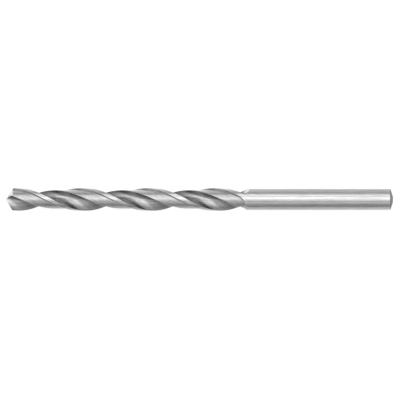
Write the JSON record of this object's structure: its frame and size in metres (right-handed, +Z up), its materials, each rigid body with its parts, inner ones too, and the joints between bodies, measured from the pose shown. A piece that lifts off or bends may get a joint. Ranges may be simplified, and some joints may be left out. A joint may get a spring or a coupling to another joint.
{
  "type": "twist drill bit",
  "caption": "Jobber twist drill bit with right-hand helical flutes, narrow margins, relieved lands, a 118 degree point and a plain round shank.",
  "frame": {"origin": "middle of the small flat on the end of the shank", "axes": "+X along the drill's axis from the point to the shank end; +Z up as the drill lies on a table"},
  "size_m": [0.086, 0.005, 0.005],
  "materials": {
    "ground_steel": "bright ground high-speed steel, satin along the shank and finely streaked in the flutes"
  },
  "bodies": {
    "root": {"twist_drill": "ground_steel"}
  },
  "joints": []
}
